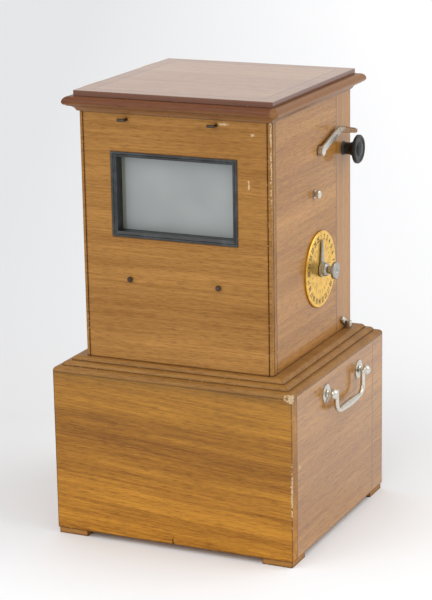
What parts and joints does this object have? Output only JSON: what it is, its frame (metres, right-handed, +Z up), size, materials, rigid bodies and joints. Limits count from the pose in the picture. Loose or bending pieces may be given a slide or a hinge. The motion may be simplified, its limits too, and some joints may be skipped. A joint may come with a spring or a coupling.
{
  "type": "table stereo slide viewer",
  "caption": "Mahogany table cabinet for viewing glass stereo slides: ground-glass screen, geared slide dial, lifting lever, focusing eyepieces, hinged lid and a storage base with drawers.",
  "frame": {"origin": "on the floor under the middle of the whole outline, drawer knobs included", "axes": "+Z up, +X towards the side with the dial, lever and focus knob, -Y towards the ground-glass screen, +Y towards the eyepieces and drawers"},
  "size_m": [0.27, 0.248, 0.4302],
  "materials": {
    "base_boards": "french polished mahogany, worn at the edges",
    "front_boards": "french polished mahogany",
    "inner_wood": "bare softwood and beech",
    "foot_wood": "stained mahogany, rubbed pale at the edges",
    "moulding_wood": "french polished mahogany",
    "cornice_wood": "dark polished mahogany",
    "screen_wood": "french polished mahogany, golden",
    "side_wood": "french polished mahogany, quartered figure",
    "panel_wood": "french polished mahogany",
    "lid_wood": "dark polished mahogany with a cross-banded edge",
    "tray_wood": "stained beech",
    "black_frame": "ebonised wood",
    "ground_glass": "ground on one face",
    "lens_glass": "polished lens",
    "dial_brass": "lacquered, with engraved black numbers",
    "brass": "lacquered",
    "nickel": "nickel plate, slightly worn",
    "steel": "bright drawn",
    "iron": "blackened",
    "ebonite": "turned and polished black ebonite"
  },
  "bodies": {
    "cabinet": {"feet": "foot_wood", "base_floor": "inner_wood", "base_sides": "base_boards", "base_rear_board": "base_boards", "base_front_posts": "base_boards", "base_rails": "front_boards", "base_top_board": "inner_wood", "base_moulding": "moulding_wood", "drawer_runners": "inner_wood", "side_boards": "side_wood", "screen_board": "screen_wood", "front_posts": "side_wood", "lens_panel": "panel_wood", "cornice": "cornice_wood", "window_frame": "black_frame", "ground_glass": "ground_glass", "glass_bead": "black_frame", "reflector_fixings": "iron", "stop_stud": "nickel", "dial_plate": "dial_brass", "shaft_bushes": "brass", "lifter_guides": "inner_wood", "gate_board": "black_frame", "slide_channels": "black_frame", "light_divider": "inner_wood", "guide_rods": "brass", "rod_brackets": "brass", "eyepiece_sleeves": "brass", "focus_bearing": "steel", "hinge_leaves": "brass", "handle_posts": "nickel", "hook_fittings": "nickel"},
    "lid": {"lid_panel": "lid_wood", "lid_battens": "lid_wood", "lid_hinge_leaves": "brass"},
    "lift_lever": {"lever_arm": "nickel", "lever_crankshaft": "nickel"},
    "slide_lifter": {"lifter_bar": "steel", "lifter_fork": "steel"},
    "dial": {"dial_knob": "nickel", "dial_shaft": "steel"},
    "tray_carriage": {"carriage_rails": "tray_wood", "carriage_rack": "brass", "slide_tray": "tray_wood"},
    "focus": {"focus_knob": "ebonite", "focus_shaft": "steel"},
    "eyepieces": {"eyepiece_tubes": "brass", "eyepiece_lenses": "lens_glass", "eyecups": "ebonite", "eyepiece_bridge": "brass", "eyepiece_racks": "brass"},
    "right_handle": {"right_bail": "nickel"},
    "left_handle": {"left_bail": "nickel"},
    "right_hold_down": {"right_hook": "nickel"},
    "left_hold_down": {"left_hook": "nickel"},
    "upper_drawer_box": {"upper_drawer": "front_boards", "upper_drawer_knob": "brass"},
    "lower_drawer_box": {"lower_drawer": "front_boards", "lower_drawer_knob": "brass"}
  },
  "joints": [
    {"name": "lid_hinge", "type": "hinge", "parent": "cabinet", "child": "lid", "pos_m": [-0.1017, -0.007, 0.428], "axis": [0, -1, 0], "range_deg": [0, 100]},
    {"name": "lever_turn", "type": "hinge", "parent": "cabinet", "child": "lift_lever", "pos_m": [0.101, 0.00901, 0.365], "axis": [-1, 0, 0], "range_deg": [0, 110]},
    {"name": "lifter_slide", "type": "slide", "parent": "cabinet", "child": "slide_lifter", "axis": [0, 0, 1], "range_m": [0, 0.05]},
    {"name": "dial_turn", "type": "hinge", "parent": "cabinet", "child": "dial", "pos_m": [0.1, 0.00901, 0.251], "axis": [-1, 0, 0], "range_deg": [0, 345.6]},
    {"name": "carriage_slide", "type": "slide", "parent": "cabinet", "child": "tray_carriage", "axis": [0, 1, 0], "range_m": [0, 0.06031]},
    {"name": "focus_turn", "type": "hinge", "parent": "cabinet", "child": "focus", "pos_m": [0.1, 0.07201, 0.356], "axis": [1, 0, 0], "range_deg": [-57.3, 143.3]},
    {"name": "eyepiece_slide", "type": "slide", "parent": "cabinet", "child": "eyepieces", "axis": [0, 1, 0], "range_m": [-0.004, 0.01]},
    {"name": "right_handle_drop", "type": "hinge", "parent": "cabinet", "child": "right_handle", "pos_m": [0.13, 0.0013, 0.145], "axis": [0, -1, 0], "range_deg": [-10, 150]},
    {"name": "left_handle_drop", "type": "hinge", "parent": "cabinet", "child": "left_handle", "pos_m": [-0.13, 0.0013, 0.145], "axis": [0, 1, 0], "range_deg": [-10, 150]},
    {"name": "right_hook_turn", "type": "hinge", "parent": "cabinet", "child": "right_hold_down", "pos_m": [0.097, 0.06501, 0.187], "axis": [1, 0, 0], "range_deg": [0, 120]},
    {"name": "left_hook_turn", "type": "hinge", "parent": "cabinet", "child": "left_hold_down", "pos_m": [-0.097, 0.06501, 0.187], "axis": [1, 0, 0], "range_deg": [0, 120]},
    {"name": "upper_drawer_slide", "type": "slide", "parent": "cabinet", "child": "upper_drawer_box", "axis": [0, 1, 0], "range_m": [0, 0.15]},
    {"name": "lower_drawer_slide", "type": "slide", "parent": "cabinet", "child": "lower_drawer_box", "axis": [0, 1, 0], "range_m": [0, 0.15]}
  ],
  "couplings": [
    {"joint": "lifter_slide", "follows": "lever_turn", "m_per_rad": 0.026043},
    {"joint": "dial_turn", "follows": "carriage_slide", "rad_per_m": 100},
    {"joint": "focus_turn", "follows": "eyepiece_slide", "rad_per_m": 250}
  ]
}
